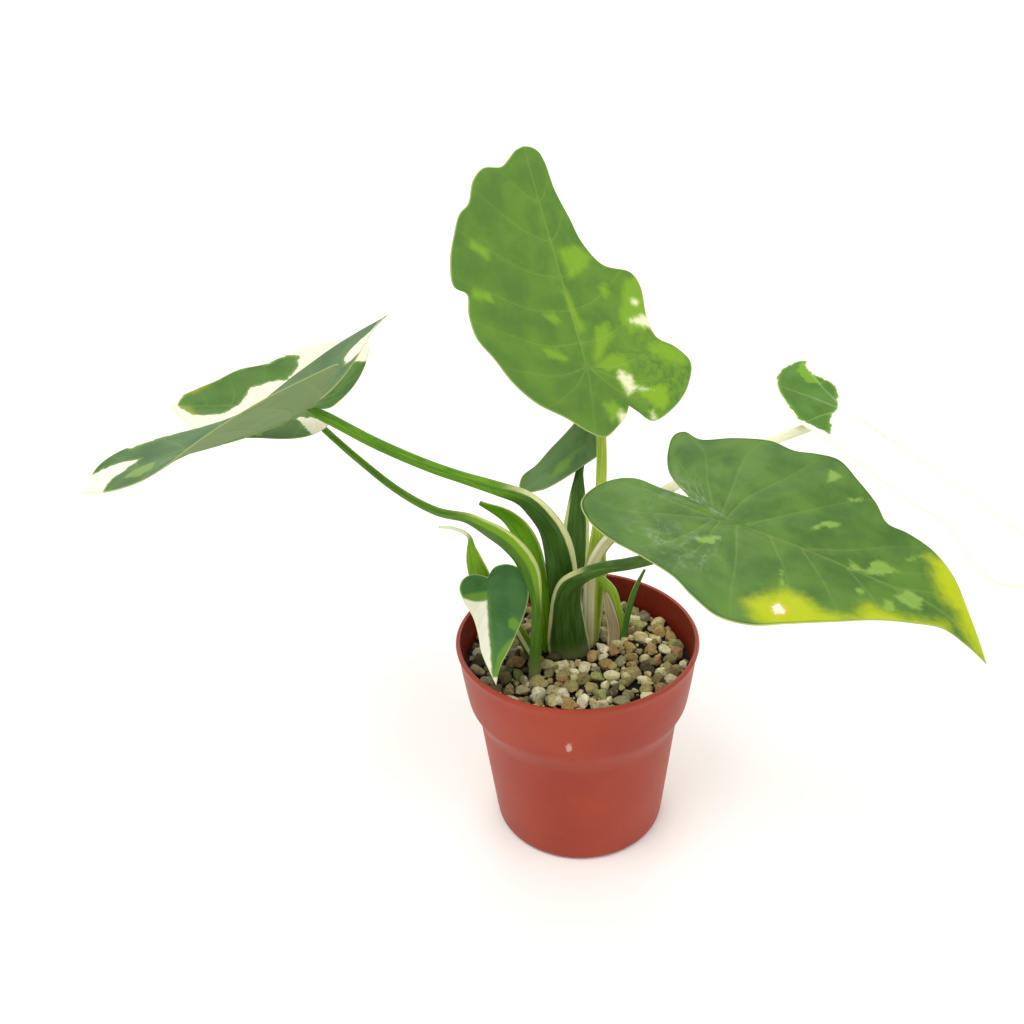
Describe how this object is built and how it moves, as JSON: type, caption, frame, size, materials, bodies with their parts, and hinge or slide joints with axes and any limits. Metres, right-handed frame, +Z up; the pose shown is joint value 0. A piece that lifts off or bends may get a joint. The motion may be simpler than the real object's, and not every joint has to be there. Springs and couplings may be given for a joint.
{
  "type": "potted okinawa silver alocasia",
  "caption": "Young variegated giant taro with arching stalks and broad heart-shaped leaves, in a round nursery pot topped with grit.",
  "frame": {"origin": "centre of the pot's base, on the table", "axes": "+Z up along the pot's axis, +X to the right seen from the front, +Y away from the front"},
  "size_m": [0.3341, 0.1987, 0.242],
  "materials": {
    "pot": "satin terracotta-red moulded plastic",
    "soil": "damp dark potting mix, matt",
    "grit": "mixed cream, tan and grey stones, matt",
    "corm": "brown fibrous skin, matt",
    "leaf_green": "waxy mid green with paler flecks",
    "leaf_bright": "waxy bright green with lime patches",
    "leaf_white": "ivory white with one green patch",
    "leaf_new": "tender yellow green, satin",
    "stalk_dark": "dark green, satin, cream margins",
    "stalk_green": "mid green, satin, cream margins",
    "stalk_light": "yellow green, satin",
    "stalk_cream": "cream with a lime flank",
    "dry_scale": "dry papery tan"
  },
  "bodies": {
    "root": {"pot": "pot", "soil": "soil", "grit": "grit", "corm": "corm", "leaf_right_blade": "leaf_green", "leaf_right_stalk": "stalk_dark", "leaf_top_blade": "leaf_bright", "leaf_top_stalk": "stalk_light", "leaf_high_left_blade": "leaf_green", "leaf_high_left_stalk": "stalk_green", "leaf_low_left_blade": "leaf_green", "leaf_low_left_stalk": "stalk_green", "leaf_white_blade": "leaf_white", "leaf_white_stalk": "stalk_cream", "leaf_back_blade": "leaf_green", "leaf_back_stalk": "stalk_dark", "leaf_folded_blade": "leaf_green", "leaf_folded_stalk": "stalk_green", "leaf_slip": "leaf_new", "leaf_new": "leaf_new", "offset_leaf_left": "leaf_new", "offset_leaf_right": "stalk_dark", "dry_scale": "dry_scale"}
  },
  "joints": []
}
